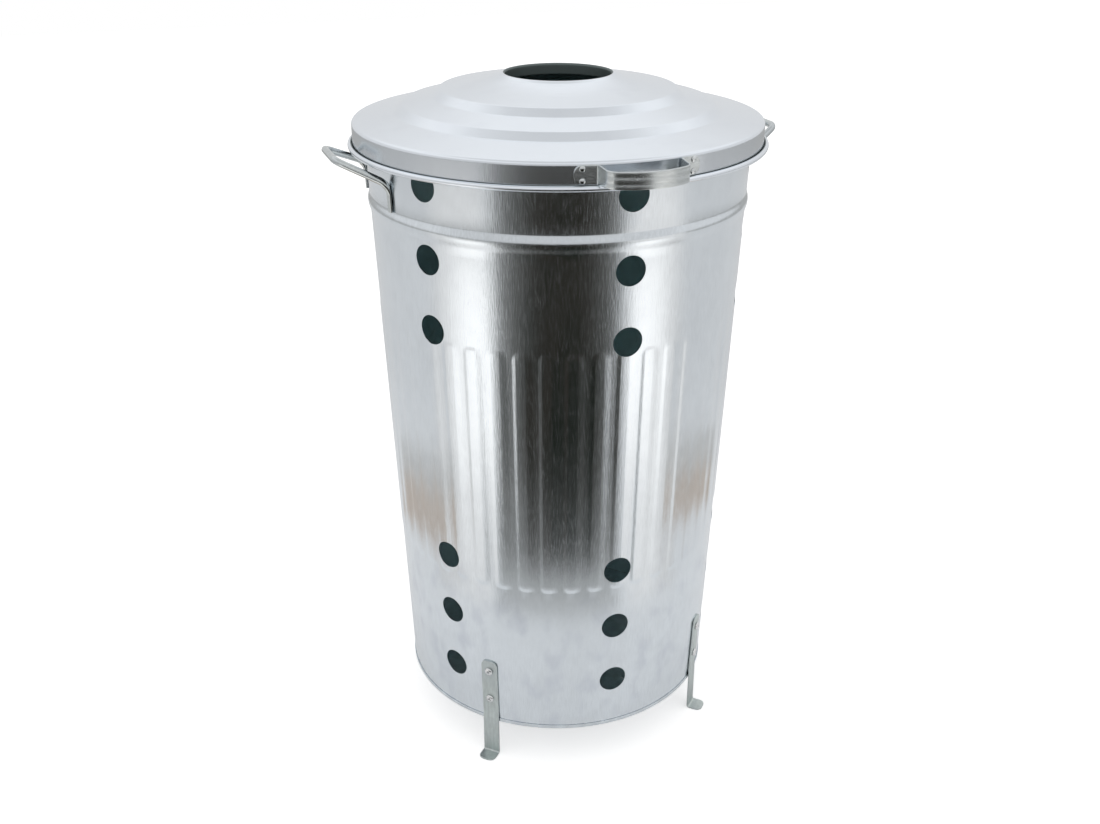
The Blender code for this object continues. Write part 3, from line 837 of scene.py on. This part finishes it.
def head_profile():
    """Profile of the pan head, from its seat to the middle of its top."""
    skirt = 0.35 * HEAD_HEIGHT
    head = [Vector((HEAD_RADIUS - HEAD_EDGE, SEAT)), Vector((HEAD_RADIUS, SEAT + HEAD_EDGE))]
    head.append(Vector((HEAD_RADIUS, SEAT + skirt)))
    for i in range(1, 8):
        angle = math.pi / 2 * i / 8
        rise = SEAT + skirt + (HEAD_HEIGHT - skirt) * math.sin(angle)
        head.append(Vector((HEAD_RADIUS * math.cos(angle), rise)))
    return head + [Vector((0.0003, SEAT + HEAD_HEIGHT))]


def cross_tool():
    """Tapered cross that cuts the recess in a screw's head."""
    net = Net()
    for turn in (0, math.pi / 2):
        rows = []
        for height, long, wide in ((SEAT + 0.0008, 0.0008, 0.0003), (SEAT + 0.0045, 0.0030, 0.0007)):
            corners = ((-long, -wide), (long, -wide), (long, wide), (-long, wide))
            spin = Matrix.Rotation(turn + 0.6, 3, "Z")
            rows.append([spin @ Vector((x, y, height)) for x, y in corners])
        net.tube(rows)
    return bpy.data.objects.new("cross_tool", net.mesh("cross_tool", sharp=10))


net = Net()
net.tube(thread_rows() + turn_profile(head_profile(), SCREW_COLUMNS))
blank = bpy.data.objects.new("screw_blank", net.mesh("screw", sharp=40))
bpy.context.scene.collection.objects.link(blank)
cut(blank, cross_tool(), sharp=40, crossing=True)
screw = blank.data
bpy.data.objects.remove(blank)

# %% [markdown]
# ## A nut
#
# The nut inside the wall is a hexagon with its corners turned off on both faces. Its rows are
# circles pulled out to six flats, and a corner is never allowed past the turned edge.

# %% One nut
NUT_FLATS = 0.0080
NUT_BORE = SCREW_RADIUS + 0.0002
NUT_COLUMNS = 48
TURNED_OFF = 0.93


def nut_mesh():
    """Hexagon nut along Z with chamfered corners and a bore."""
    corner = NUT_FLATS / 2 / math.cos(math.pi / 6)
    angles = [k * 2 * math.pi / NUT_COLUMNS for k in range(NUT_COLUMNS)]
    rows = []
    for share, limit in ((0.0, TURNED_OFF), (0.12, 1.0), (0.88, 1.0), (1.0, TURNED_OFF)):
        row = []
        for angle in angles:
            flat = (angle + math.pi / 6) % (math.pi / 3) - math.pi / 6
            radius = min(NUT_FLATS / 2 / math.cos(flat), corner * limit)
            row.append(polar(angle, radius, NUT_TOP - NUT_THICKNESS * share))
        rows.append(row)
    for share in (1.0, 0.0):
        rows.append([polar(angle, NUT_BORE, NUT_TOP - NUT_THICKNESS * share) for angle in angles])
    net = Net()
    net.tube(rows, ends=False)
    return net.mesh("nut", sharp=30)


nut = nut_mesh()
print("a nut has", len(nut.polygons), "faces")

# %% [markdown]
# ## Screws and nuts at the legs
#
# Two screws go through each leg and the wall. Each copy is turned by another amount, because a
# hand-driven screw stops where it stops.

# %% A screw and a nut at every leg hole
SCREW_HEIGHTS = {"upper": 0.0748, "lower": 0.0340}
for place, degrees in LEG_ANGLES.items():
    for level, height in SCREW_HEIGHTS.items():
        at = facing(math.radians(degrees), height, wall_radius(height))
        spin = Matrix.Rotation(math.radians(degrees) * 7 + height * 90, 4, "Z")
        for kind, source, slot in (("screw", screw, "bright_screw"), ("nut", nut, "plain_nut")):
            mesh = source.copy()
            mesh.transform(at @ spin)
            smooth(mesh, 40)
            add_piece(f"{kind}_{place}_{level}", mesh, slot, "bin", f"leg_{place}_{kind}_{level}")
print(len(LEG_ANGLES) * len(SCREW_HEIGHTS), "screws with as many nuts")

# %% [markdown]
# ## Rod handles
#
# Each handle on the wall is a bent round rod with its ends hammered flat and spot-welded to the
# sheet. Near the wall the rod's thickness follows the room that is left, so it flattens as it
# comes to lie against the sheet. The grip stands out past the lid's hem, so fingers reach it.

# %% Sizes and path of a rod handle
ROD_RADIUS = 0.0040
LID_CLEARANCE = 0.0062
SKIRT_RADIUS = RIM_RADIUS + 2 * CURL_RADIUS + SHEET + LID_CLEARANCE + SHEET
HEM_RADIUS = 0.0024
GRIP_SPACING = 0.0624
GRIP_CLEARANCE = 0.0201
GRIP_REACH = SKIRT_RADIUS + 2 * HEM_RADIUS + SHEET + GRIP_CLEARANCE + ROD_RADIUS
GRIP_HEIGHT = RIM_HEIGHT - 0.0220
PAW_SPACING = 0.1110
PAW_WIDTH = 0.0082
PAW_THICKNESS = 0.0036
PAW_END = RIM_HEIGHT - 0.0750
PAW_TOP = RIM_HEIGHT - 0.0556
PAW_BEND = RIM_HEIGHT - 0.0441
PAW_SPREAD = math.asin(PAW_SPACING / 2 / (wall_radius(PAW_TOP) + SEAT_GAP + PAW_THICKNESS / 2))
ROD_BENDS = (0.012, 0.012, 0.015, 0.015, 0.012, 0.012)


def handle_line():
    """Middle line of a handle that faces the front."""
    halves = []
    for side in (-1, 1):
        half = []
        clears = {PAW_END: PAW_THICKNESS / 2, PAW_TOP: PAW_THICKNESS / 2, PAW_BEND: ROD_RADIUS}
        for height, clear in clears.items():
            half.append(polar(side * PAW_SPREAD, wall_radius(height) + SEAT_GAP + clear, height))
        halves.append(half + [Vector((side * GRIP_SPACING / 2, -GRIP_REACH, GRIP_HEIGHT))])
    return rounded(halves[0] + halves[1][::-1], ROD_BENDS, 7)


def rod_station(point):
    """Half width and half thickness of the rod at a point of its path."""
    flat = PAW_THICKNESS / 2
    clear = math.hypot(point.x, point.y) - wall_radius(point.z) - SEAT_GAP
    thickness = min(max(clear, flat), ROD_RADIUS)
    share = (thickness - flat) / (ROD_RADIUS - flat)
    return point, PAW_WIDTH / 2 + (ROD_RADIUS - PAW_WIDTH / 2) * share, thickness


print("a rod handle reaches", round(GRIP_REACH + ROD_RADIUS, 4))

# %% [markdown]
# ## From the path to the two rods
#
# The path's straight parts are cut into short lengths, so that the flattening has points to show
# on. The rod keeps its section from twisting by carrying its sideways direction along the bends.

# %% The two rod handles
line = handle_line()
dense = [line[0]]
for a, b in zip(line, line[1:]):
    parts = max(1, int((b - a).length / 0.004))
    dense += [a.lerp(b, (i + 1) / parts) for i in range(parts)]
tangent = Vector((math.cos(PAW_SPREAD), -math.sin(PAW_SPREAD), 0))
rod_net = bar([rod_station(p) for p in dense], tangent, section(20, 1.0), fixed=False)
for side, sign in (("left", -1), ("right", 1)):
    mesh = rod_net.mesh(f"rod_handle_{side}", sharp=50)
    mesh.transform(Matrix.Rotation(sign * math.pi / 2, 4, "Z"))
    add_piece(f"rod_handle_{side}", mesh, "handle_rod", "bin", f"body_handle_{side}")
print("each rod has", len(dense), "stations")

# %% [markdown]
# ## The lid
#
# The lid is pressed from one disc: a skirt that hangs over the rim, a sloping shoulder, two steps,
# a low dome and an opening with a short neck turned down into the bin. Its lower edge is rolled
# outwards. All of it is one profile with a small arc at every fold, turned round the axis. Its
# height follows from the shoulder, which rests on the wall's rolled edge.

# %% Sizes of the lid
SKIRT_DEPTH = 0.0253
SHOULDER_WIDTH = 0.0467
SHOULDER_RISE = 0.0095
RISER_RUN = 0.0095
RISER_RISE = 0.0074
STEP_WIDTH = 0.0321
STEP_RISE = 0.0079
DOME_RISE = 0.0107
DOME_FLARE = 0.0035
DOME_SHARES = (0.3, 0.5, 0.65, 0.77, 0.87, 0.96)
OPENING_RADIUS = 0.0585
LIP_WIDTH = 0.0045
LIP_RISE = 0.0015
NECK_DEPTH = 0.0120
LID_BENDS = [0.0036, 0.0020, 0.0035, 0.0020, 0.0035] + [0.030] * 5 + [0.004, 0.0022]
SLOPE = math.atan(SHOULDER_RISE / SHOULDER_WIDTH)
LID_HEIGHT = (
    RIM_HEIGHT
    + (CURL_RADIUS + 2 * SHEET + GAP) / math.cos(SLOPE)
    - (SKIRT_RADIUS - RIM_RADIUS - CURL_RADIUS) * math.tan(SLOPE)
)
print("the lid's edge is", round(LID_HEIGHT, 4), "up")

# %% [markdown]
# ## The lid's profile
#
# The profile starts at the hem's free edge, climbs over the skirt and the steps and ends at the
# foot of the neck. The dome flares a little more steeply the nearer it comes to the opening.


# %% The lid turned from its profile
def lid_profile():
    """Outer surface from the hem's free edge to the foot of the neck, in world heights."""
    inner = OPENING_RADIUS + LIP_WIDTH
    radius = SKIRT_RADIUS - SHOULDER_WIDTH
    height = SHOULDER_RISE
    corners = [(SKIRT_RADIUS, -SKIRT_DEPTH), (SKIRT_RADIUS, 0.0), (radius, height)]
    corners.append((radius - RISER_RUN, height + RISER_RISE))
    radius -= RISER_RUN + STEP_WIDTH
    height += RISER_RISE + STEP_RISE
    corners += [(radius, height), (radius - RISER_RUN, height + RISER_RISE)]
    radius -= RISER_RUN
    height += RISER_RISE
    for share in DOME_SHARES:
        rise = DOME_RISE * share + DOME_FLARE * share**5
        corners.append((radius + (inner - radius) * share, height + rise))
    lip = height + DOME_RISE + DOME_FLARE + LIP_RISE
    corners += [(OPENING_RADIUS + 0.0004, lip + 0.0010), (OPENING_RADIUS, lip - NECK_DEPTH)]
    line = rounded([Vector(c) for c in corners], LID_BENDS, 4)
    centre = Vector((SKIRT_RADIUS + HEM_RADIUS, -SKIRT_DEPTH))
    hem = arc(centre, HEM_RADIUS, math.pi * 8 / 3, -math.pi * 5 / 3, 14)
    return [Vector((p.x, p.y + LID_HEIGHT)) for p in supported(hem[:-1] + line)]


profile = lid_profile()
net = Net()
net.sheet(turn_profile(profile, 288))
lid = add_piece("lid", net.mesh("lid", closed=False), "lid_sheet", "lid", "lid_shell")
thicken(lid)
settle(lid)
print("lid top at", round(max(p.y for p in profile), 4))

# %% [markdown]
# ## The strap handle
#
# A flat strap with rolled edges is folded out of two riveted plates and bowed away from the skirt.
# Two shallow grooves run along the bow. They come from a small lift of the outer face that depends
# only on the place across the strap, and they fade out where the plates begin.

# %% Sizes and line of the strap
STRAP_WIDTH = 0.0172
STRAP_THICKNESS = 0.0015
STRAP_DROP = 0.0121
STRAP_SEAT = SKIRT_RADIUS + SEAT_GAP + STRAP_THICKNESS / 2
STRAP_LEVEL = LID_HEIGHT - STRAP_DROP
PLATE_WIDTH = 0.0198
PLATE_LENGTH = 0.0235
PLATE_CORNER = 0.0085
FOLD_SPACING = 0.0868
PLATE_ANGLE = math.asin(FOLD_SPACING / 2 / STRAP_SEAT) + PLATE_LENGTH / 2 / STRAP_SEAT
BOW_SPACING = 0.0850
BOW_CORNER = 0.0225
BOW_REACH = 0.0388
STRAP_BENDS = (0.003, 0.014, 0.070, 0.014, 0.003)
GROOVE_DEPTH = 0.00018
BEND_STEPS = 8
TIP_STEPS = 6


def mirrored(point):
    """The same point on the other side."""
    return Vector((-point.x, point.y, point.z))


def strap_line():
    """Middle line of the strap from end to end."""
    middle = polar(PLATE_ANGLE, STRAP_SEAT, STRAP_LEVEL)
    along = Vector((math.cos(PLATE_ANGLE), math.sin(PLATE_ANGLE), 0)) * PLATE_LENGTH / 2
    fold, end = middle - along, middle + along
    corner = Vector((BOW_SPACING / 2, -STRAP_SEAT - BOW_CORNER, STRAP_LEVEL))
    front = Vector((0, -STRAP_SEAT - BOW_REACH, STRAP_LEVEL))
    points = [mirrored(end), mirrored(fold), mirrored(corner), front, corner, fold, end]
    return rounded(points, STRAP_BENDS, BEND_STEPS)


def strap_ridge(x, point):
    """Lift of the strap's outer face across its width: two grooves, none on the plates."""
    off = math.hypot(point.x, point.y) - SKIRT_RADIUS - SEAT_GAP - STRAP_THICKNESS / 2
    depth = GROOVE_DEPTH * min(1.0, max(0.0, off / 0.004))
    return -depth * math.exp(-(((abs(x) - 0.4) / 0.2) ** 2))


print("the plates sit", round(math.degrees(PLATE_ANGLE), 1), "degrees from the middle")

# %% [markdown]
# ## Plates and bow in one bar
#
# The whole strap is first made as wide as its plates, which gives both ends their round corners.
# Then the stations of the bow, between the two folds, are set to the narrower width.

# %% The strap handle
stations = strap_stations(strap_line(), PLATE_WIDTH / 2, STRAP_THICKNESS / 2, PLATE_CORNER)
plate = TIP_STEPS + 1 + BEND_STEPS + 1
bow = [(point, STRAP_WIDTH / 2, thickness) for point, _, thickness in stations[plate:-plate]]
stations = stations[:plate] + bow + stations[-plate:]
strap_net = bar(stations, Vector((0, 0, 1)), section(56, 0.25), ridge=strap_ridge)
mesh = strap_net.mesh("strap_handle", sharp=50)
add_piece("strap_handle", mesh, "lid_strap", "lid", "lid_handle")
print("the strap has", len(mesh.polygons), "faces")

# %% [markdown]
# ## Rivets
#
# Two soft rivets, one above the other, go through each plate and the skirt. Outside they have a
# domed head, inside their tail is hammered wide. One turned profile makes the whole rivet, and it
# is set square on the skirt, a little further out than the middle of the plate.

# %% The rivets
RIVET_RADIUS = 0.0020
RIVET_HEAD = 0.0031
RIVET_DOME = 0.0011
RIVET_TAIL = 0.0029
RIVET_PITCH = 0.0120
RIVET_SHIFT = 0.0035
RIVET_SEAT = SEAT_GAP + STRAP_THICKNESS + GAP
# The solids' lid has this many flat facets, and a rivet's tail lies on a facet.
LID_FACETS = 60
RIVET_INSIDE = -(SHEET + SKIRT_RADIUS * (1 - math.cos(math.pi / LID_FACETS)) + GAP)


def rivet_mesh():
    """Rivet along Z: spread tail inside, domed head outside."""
    profile = [(0.0003, RIVET_INSIDE - 0.0010), (0.0024, RIVET_INSIDE - 0.0008)]
    profile += [(RIVET_TAIL, RIVET_INSIDE), (RIVET_RADIUS, RIVET_INSIDE)]
    profile += [(RIVET_RADIUS, RIVET_SEAT), (RIVET_HEAD, RIVET_SEAT)]
    for i in range(1, 8):
        angle = math.pi / 2 * i / 8
        profile.append((RIVET_HEAD * math.cos(angle), RIVET_SEAT + RIVET_DOME * math.sin(angle)))
    profile.append((0.0002, RIVET_SEAT + RIVET_DOME))
    net = Net()
    net.tube(turn_profile(profile, 24))
    return net.mesh("rivet", sharp=50)


angle = PLATE_ANGLE + RIVET_SHIFT / SKIRT_RADIUS
for side, sign in (("left", -1), ("right", 1)):
    for level, lift in (("upper", 0.5), ("lower", -0.5)):
        mesh = rivet_mesh()
        mesh.transform(facing(sign * angle, STRAP_LEVEL + lift * RIVET_PITCH, SKIRT_RADIUS, 0.0))
        add_piece(f"rivet_{side}_{level}", mesh, "soft_rivet", "lid", f"lid_rivet_{side}_{level}")
print("rivets at", round(math.degrees(angle), 1), "degrees")

# %% [markdown]
# ## The floor
#
# The bin stands on a pale floor. To the camera the floor also glows a little, which makes it as
# white as the room behind it, while the bin still leaves its soft shadow there.

# %% A pale floor
FLOOR = -FOOT_DROP
bpy.ops.mesh.primitive_plane_add(size=14, location=(0, 0, FLOOR))
floor = bpy.context.object
floor.name = "floor"
ground = Finish(bpy.data.materials.new("pale_floor"))
camera_ray = ground.node("ShaderNodeLightPath", {}, {}, "Is Camera Ray")
paper = ground.node("ShaderNodeBsdfDiffuse", {}, {"Color": (0.80, 0.80, 0.80, 1.0)})
white = (1.0, 1.0, 1.0, 1.0)
shine = ground.node("ShaderNodeEmission", {}, {"Color": white, "Strength": 0.55 * camera_ray})
both = ground.node("ShaderNodeAddShader", {}, {0: paper, 1: shine})
ground.tree.links.new(both.socket, ground.tree.nodes["Material Output"].inputs["Surface"])
floor.data.materials.append(ground.owner)
print("the floor is at", FLOOR)

# %% [markdown]
# ## Cards for the metal to mirror
#
# Bare metal has almost no colour of its own: it shows the room. So the room is laid out on the
# floor round the bin, in flat cards that only reflections see. A cloth in front gives the dark
# band down the middle of the wall. It gets paler to its sides, so the band has soft edges. A board
# on each side glows most next to the cloth, which gives the two bright bands. Paper further out
# gets greyer, and darkens the skirt of the lid. Small mats give the dull patches low on the wall.

# %% Materials of the cards
CAMERA_ANGLE = -20.5
WHITE = (0.84, 0.82, 0.80)
GREY = (0.66, 0.65, 0.63)
BROWN = (0.66, 0.56, 0.48)
BLACK = (0.0, 0.0, 0.0)
WARM_LIGHT = (1.0, 0.97, 0.93, 1.0)


def opaque(colour):
    """Colour with full opacity."""
    return (*colour, 1.0)


def matt(name, colour, glow=0.0):
    """Matt surface of one colour that may also glow, and its shader."""
    finish = Finish(bpy.data.materials.new(name))
    shader = finish.tree.nodes["Principled BSDF"]
    shader.inputs["Base Color"].default_value = opaque(colour)
    shader.inputs["Roughness"].default_value = 1.0
    shader.inputs["Specular IOR Level"].default_value = 0.0
    shader.inputs["Emission Color"].default_value = WARM_LIGHT
    shader.inputs["Emission Strength"].default_value = glow
    return finish, shader


def plain(name, colour, glow=0.0):
    """Card of one colour."""
    return matt(name, colour, glow)[0].owner


def fading(name, near, far):
    """White paper that is a little greyer further out."""
    finish, shader = matt(name, BLACK)
    share = finish.ramp(finish.distance(), near, far)
    shade = finish.blend(share, opaque((0.95, 0.95, 0.95)), opaque((0.80, 0.80, 0.80)))
    finish.tree.links.new(shade.socket, shader.inputs["Base Color"])
    return finish.owner


def glowing(name, full, none):
    """White card that glows most at one angle and not at all at another."""
    finish, shader = matt(name, WHITE, 0.62)
    reach = math.sin(math.radians(none - full))
    share = finish.ramp(finish.turned(CAMERA_ANGLE + full), reach, 0.0)
    share = share * (0.3 + 0.7 * finish.ramp(finish.distance(), 0.5, 1.15))
    glow = finish.blend(share, opaque(BLACK), WARM_LIGHT)
    finish.tree.links.new(glow.socket, shader.inputs["Emission Color"])
    return finish.owner


def draped(name):
    """Dark cloth that is paler at its sides and at its near hem, where it thins out."""
    finish, shader = matt(name, BLACK)
    folds = finish.ramp(finish.noise((2.2, 2.2, 1), detail=3.0), 0.35, 0.65)
    weave = finish.blend(folds, opaque((0.011, 0.015, 0.011)), opaque((0.036, 0.029, 0.023)))
    side = finish.turned(CAMERA_ANGLE + 3)
    away = finish.distance()
    side = side * side * (1.0 + 1.3 * finish.ramp(away, 0.95, 0.50))
    weave = finish.blend(finish.ramp(side, 0.02, 0.42), weave, opaque((0.26, 0.26, 0.25)))
    weave = finish.blend(0.12 * finish.ramp(away, 0.95, 0.60), weave, opaque((0.45, 0.44, 0.43)))
    weave = finish.blend(finish.ramp(away, 0.62, 0.50), weave, opaque((0.62, 0.62, 0.61)))
    finish.tree.links.new(weave.socket, shader.inputs["Base Color"])
    return finish.owner


print("card colours are on average", [round(sum(colour) / 3, 2) for colour in (WHITE, GREY, BROWN)])

# %% [markdown]
# ## Laying out the cards
#
# Every card is a slice of a ring round the bin, between two angles from the camera and two
# distances. The wall leans and the camera looks down, so each height on the wall mirrors one
# distance on the floor: the top of the wall shows what is two metres out, its foot what is half a
# metre out. The cards lie a millimetre or two apart, and the later ones lie on top.


# %% The cards
def sector(name, start, end, near, far, lift):
    """Flat card over the floor that only reflections see, at angles from the camera's."""
    net = Net()
    steps = 24
    first, last = CAMERA_ANGLE + start, CAMERA_ANGLE + end
    angles = [math.radians(first + (last - first) * i / steps) for i in range(steps + 1)]
    low = net.row([polar(a, near, FLOOR + lift) for a in angles])
    high = net.row([polar(a, far, FLOOR + lift) for a in angles])
    for i in range(steps):
        net.faces.append((low[i], low[i + 1], high[i + 1], high[i]))
    card = bpy.data.objects.new(name, net.mesh(name, closed=False))
    bpy.context.scene.collection.objects.link(card)
    card.visible_camera = False
    card.visible_shadow = False
    card.visible_diffuse = False
    return card


# name, from and to in degrees, nearest and furthest, lift, kind of card and its values
CARDS = [
    ("near_floor", -180, 180, 0.21, 1.40, 0.001, fading, 0.50, 1.30),
    ("far_floor", -180, 180, 3.0, 6.9, 0.002, plain, (0.50, 0.50, 0.49)),
    ("left_outer", -78, -42, 1.85, 3.0, 0.003, plain, WHITE, 0.10),
    ("right_far", 34, 76, 3.0, 6.9, 0.003, plain, WHITE, 0.16),
    ("right_outer", 44, 74, 1.85, 3.0, 0.003, plain, WHITE, 0.16),
    ("dark_cloth", -36, 37, 0.46, 6.9, 0.004, draped),
    ("left_board", -78, -38.5, 0.46, 1.85, 0.006, glowing, -50, -78),
    ("right_board", 43, 78, 0.46, 1.85, 0.006, glowing, 54, 78),
    ("left_grey", -126, -66, 0.68, 0.84, 0.007, plain, GREY),
    ("right_grey", 74, 126, 0.72, 0.90, 0.007, plain, GREY),
    ("left_mat", -124, -68, 0.55, 0.71, 0.008, plain, BROWN),
    ("right_mat", 74, 120, 0.62, 0.76, 0.008, plain, BROWN),
]
for name, start, end, near, far, lift, kind, *values in CARDS:
    sector(name, start, end, near, far, lift).data.materials.append(kind(name, *values))
print(len(CARDS), "cards")

# %% [markdown]
# ## The room's light
#
# The room itself gives the light, evenly from all sides. It is brightest halfway up, a little less
# straight above and behind the camera, and that is what shades the steps of the lid. A world does
# this with no lamps, and so with no hard shadows. The camera sees the room as plain white.

# %% Light from the room
room = bpy.data.worlds.new("room")
bpy.context.scene.world = room
sky = Finish(room)
towards = polar(math.radians(CAMERA_ANGLE), 1.0, 0.0)
direction = sky.node("ShaderNodeTexCoord", {}, {}, "Generated")
front = sky.vector("DOT_PRODUCT", direction, towards, 1)
rise = sky.node("ShaderNodeSeparateXYZ", {}, {0: direction}, 2)
level = 0.76 + 0.24 * sky.ramp(rise, 0.28, 0.66) - 0.30 * sky.ramp(rise, 0.70, 1.0)
level = level - 0.10 * sky.ramp(front, 0.2, 0.8)
seen = sky.node("ShaderNodeLightPath", {}, {}, "Is Camera Ray")
strength = seen + (1.0 - seen) * level
back = sky.tree.nodes["Background"]
back.inputs["Color"].default_value = (1.0, 1.0, 1.0, 1.0)
sky.tree.links.new(strength.socket, back.inputs["Strength"])
print("the room's light has", len(sky.tree.nodes), "nodes")

# %% [markdown]
# ## The camera
#
# The camera stands where the photograph was taken from. Its distance, height and tilt come from
# fitting the cones of the bin to the outlines in the photograph.

# %% The camera's place
CAMERA_DISTANCE = 1.3733
CAMERA_HEIGHT = 0.9689
CAMERA_PITCH = 24.74
CAMERA_YAW = 0.372
camera_data = bpy.data.cameras.new("camera")
camera_data.lens = 39.79
camera_data.sensor_width = 36.0
camera = bpy.data.objects.new("camera", camera_data)
bpy.context.scene.collection.objects.link(camera)
camera.location = polar(math.radians(CAMERA_ANGLE), CAMERA_DISTANCE, CAMERA_HEIGHT)
tilt = math.radians(90 - CAMERA_PITCH)
camera.rotation_euler = (tilt, 0.0, math.radians(CAMERA_ANGLE + CAMERA_YAW))
bpy.context.scene.camera = camera
bpy.context.scene.view_settings.view_transform = "Standard"
print("camera at", [round(x, 3) for x in camera.location])
